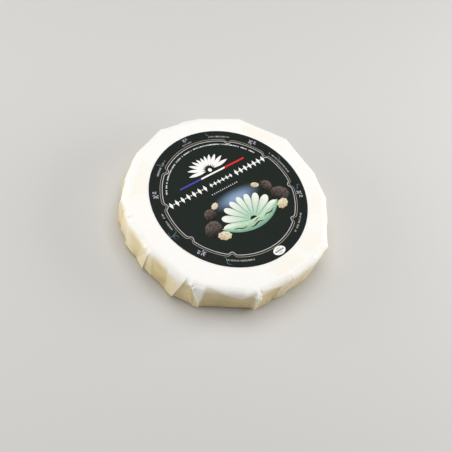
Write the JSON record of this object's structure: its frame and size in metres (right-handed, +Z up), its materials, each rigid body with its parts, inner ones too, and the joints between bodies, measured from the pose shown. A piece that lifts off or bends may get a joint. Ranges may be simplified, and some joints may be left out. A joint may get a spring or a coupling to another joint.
{
  "type": "brie wheel",
  "caption": "Whole flat round wheel of soft white-rind cheese, wrapped in pleated white paper, with a round black paper label on top.",
  "frame": {"origin": "on the surface that the wheel lies on, under the middle of its outline", "axes": "+Z up, the wheel's axis; +X along the label from left to right; +Y towards the label's upper edge"},
  "size_m": [0.235, 0.235, 0.0442],
  "materials": {
    "white_paper": "thin matt white wrapping paper, creased and slightly translucent",
    "printed_label": "smooth paper printed charcoal black, semi-matt"
  },
  "bodies": {
    "root": {"wrapped_wheel": "white_paper", "round_label": "printed_label"}
  },
  "joints": []
}
